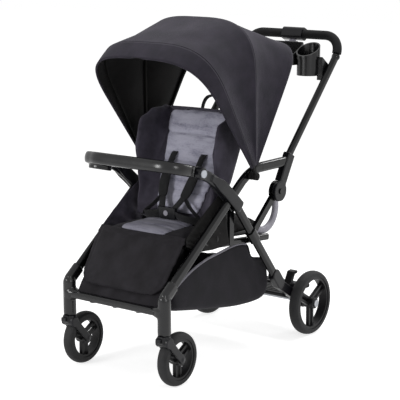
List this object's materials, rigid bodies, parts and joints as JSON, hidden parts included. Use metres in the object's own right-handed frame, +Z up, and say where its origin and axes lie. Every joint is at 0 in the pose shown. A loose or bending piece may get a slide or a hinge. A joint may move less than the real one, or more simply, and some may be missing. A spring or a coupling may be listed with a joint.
{
  "type": "tandem stroller",
  "caption": "Tandem stroller with a folding oval-tube frame, reclining front seat under a bowed canopy, rear bench, standing platform, basket and trays.",
  "frame": {"origin": "on the floor, in the middle of the stroller's length and width", "axes": "+Z up, -Y the way the front child faces and the stroller is pushed, +X across to the child's left"},
  "size_m": [0.5156, 1.0986, 1.1655],
  "materials": {
    "gloss_tube": "gloss black powder coat on steel tube",
    "moulded_black": "satin moulded nylon",
    "grey_plastic": "satin moulded grey plastic",
    "silver_plastic": "painted silver plastic",
    "black_cloth": "plain woven polyester",
    "grey_cloth": "heathered woven polyester, padded",
    "webbing": "woven nylon webbing",
    "foam": "matt closed-cell foam",
    "steel": "zinc-plated steel",
    "tyre": "matt foam rubber"
  },
  "bodies": {
    "frame": {"front_leg_right": "gloss_tube", "front_leg_left": "gloss_tube", "upper_arm_right": "gloss_tube", "upper_arm_left": "gloss_tube", "hub_right": "moulded_black", "hub_left": "moulded_black", "front_casting_right": "moulded_black", "front_casting_left": "moulded_black", "footrest": "moulded_black", "seat_rails": "gloss_tube", "seat_pan": "moulded_black", "seat_cushion": "grey_cloth", "calf_panel": "black_cloth", "seat_gussets": "black_cloth", "basket": "black_cloth", "bench_base": "moulded_black", "bench_pad": "black_cloth", "bench_arms": "grey_plastic", "crotch_strap": "webbing", "buckle": "moulded_black", "canopy_rear_bow": "gloss_tube", "canopy_rear_panel": "black_cloth"},
    "rear_frame": {"rear_leg_right": "gloss_tube", "rear_leg_left": "gloss_tube", "rear_foot_right": "moulded_black", "rear_foot_left": "moulded_black", "rear_axle": "steel", "platform": "grey_plastic", "fold_links": "moulded_black"},
    "handle": {"push_bar": "gloss_tube", "handle_sleeves": "moulded_black", "handle_grip": "foam", "handle_block": "moulded_black", "parent_tray": "moulded_black"},
    "fold_trigger": {"fold_trigger": "grey_plastic"},
    "brake_bar": {"brake_bar": "grey_plastic"},
    "backrest": {"backrest_board": "moulded_black", "backrest_pad": "grey_cloth", "side_wings": "black_cloth", "shoulder_straps": "webbing"},
    "buckle_button": {"buckle_button": "grey_plastic"},
    "canopy_middle": {"canopy_middle_bow": "gloss_tube", "canopy_front_panel": "black_cloth"},
    "canopy_front": {"canopy_front_bow": "gloss_tube", "canopy_visor": "black_cloth"},
    "child_tray": {"child_tray": "moulded_black"},
    "tray_button_right": {"tray_button_right": "silver_plastic"},
    "caster_right": {"caster_fork_right": "moulded_black"},
    "swivel_lock_right": {"swivel_lock_right": "grey_plastic"},
    "front_wheel_right": {"front_rim_right": "moulded_black", "front_tyre_right": "tyre"},
    "rear_wheel_right": {"rear_rim_right": "moulded_black", "rear_tyre_right": "tyre"},
    "tray_button_left": {"tray_button_left": "silver_plastic"},
    "caster_left": {"caster_fork_left": "moulded_black"},
    "swivel_lock_left": {"swivel_lock_left": "grey_plastic"},
    "front_wheel_left": {"front_rim_left": "moulded_black", "front_tyre_left": "tyre"},
    "rear_wheel_left": {"rear_rim_left": "moulded_black", "rear_tyre_left": "tyre"}
  },
  "joints": [
    {"name": "frame_fold", "type": "hinge", "parent": "frame", "child": "rear_frame", "pos_m": [0, -0.12206, 0.5457], "axis": [-1, 0, 0], "range_deg": [0, 55]},
    {"name": "handle_fold", "type": "hinge", "parent": "rear_frame", "child": "handle", "pos_m": [0, 0.126, 0.558], "axis": [-1, 0, 0], "range_deg": [0, 80]},
    {"name": "fold_trigger_pull", "type": "slide", "parent": "handle", "child": "fold_trigger", "axis": [0, 0.4226, 0.9063], "range_m": [0, 0.008], "stiffness_N_per_m": 300},
    {"name": "brake_press", "type": "hinge", "parent": "rear_frame", "child": "brake_bar", "pos_m": [0, 0.24887, 0.18726], "axis": [-1, 0, 0], "range_deg": [0, 22]},
    {"name": "recline", "type": "hinge", "parent": "frame", "child": "backrest", "pos_m": [0, -0.1884, 0.44825], "axis": [-1, 0, 0], "range_deg": [0, 30]},
    {"name": "buckle_press", "type": "slide", "parent": "frame", "child": "buckle_button", "axis": [0, 1, 0], "range_m": [0, 0.003], "stiffness_N_per_m": 300},
    {"name": "canopy_fold", "type": "hinge", "parent": "frame", "child": "canopy_middle", "pos_m": [0, -0.05947, 0.64054], "axis": [-1, 0, 0], "range_deg": [0, 32]},
    {"name": "canopy_front_fold", "type": "hinge", "parent": "canopy_middle", "child": "canopy_front", "pos_m": [0, -0.05947, 0.64054], "axis": [-1, 0, 0], "range_deg": [0, 24]},
    {"name": "tray_lift", "type": "hinge", "parent": "frame", "child": "child_tray", "pos_m": [0, -0.32, 0.684], "axis": [-1, 0, 0], "range_deg": [0, 70]},
    {"name": "tray_button_press_right", "type": "slide", "parent": "frame", "child": "tray_button_right", "axis": [-1, 0, 0], "range_m": [0, 0.004], "stiffness_N_per_m": 300},
    {"name": "caster_swivel_right", "type": "hinge", "parent": "frame", "child": "caster_right", "pos_m": [0.204, -0.512, 0.186], "axis": [0, 0, 1], "continuous": true},
    {"name": "swivel_lock_slide_right", "type": "slide", "parent": "caster_right", "child": "swivel_lock_right", "axis": [0, 0, 1], "range_m": [0, 0.005]},
    {"name": "front_wheel_spin_right", "type": "hinge", "parent": "caster_right", "child": "front_wheel_right", "pos_m": [0.204, -0.446, 0.09], "axis": [1, 0, 0], "continuous": true},
    {"name": "rear_wheel_spin_right", "type": "hinge", "parent": "rear_frame", "child": "rear_wheel_right", "pos_m": [0.2289, 0.308, 0.1175], "axis": [1, 0, 0], "continuous": true},
    {"name": "tray_button_press_left", "type": "slide", "parent": "frame", "child": "tray_button_left", "axis": [1, 0, 0], "range_m": [0, 0.004], "stiffness_N_per_m": 300},
    {"name": "caster_swivel_left", "type": "hinge", "parent": "frame", "child": "caster_left", "pos_m": [-0.204, -0.512, 0.186], "axis": [0, 0, 1], "continuous": true},
    {"name": "swivel_lock_slide_left", "type": "slide", "parent": "caster_left", "child": "swivel_lock_left", "axis": [0, 0, 1], "range_m": [0, 0.005]},
    {"name": "front_wheel_spin_left", "type": "hinge", "parent": "caster_left", "child": "front_wheel_left", "pos_m": [-0.204, -0.446, 0.09], "axis": [1, 0, 0], "continuous": true},
    {"name": "rear_wheel_spin_left", "type": "hinge", "parent": "rear_frame", "child": "rear_wheel_left", "pos_m": [-0.2289, 0.308, 0.1175], "axis": [1, 0, 0], "continuous": true}
  ],
  "couplings": [
    {"joint": "handle_fold", "follows": "frame_fold", "ratio": 1.4545},
    {"joint": "canopy_front_fold", "follows": "canopy_fold", "ratio": 0.75}
  ]
}
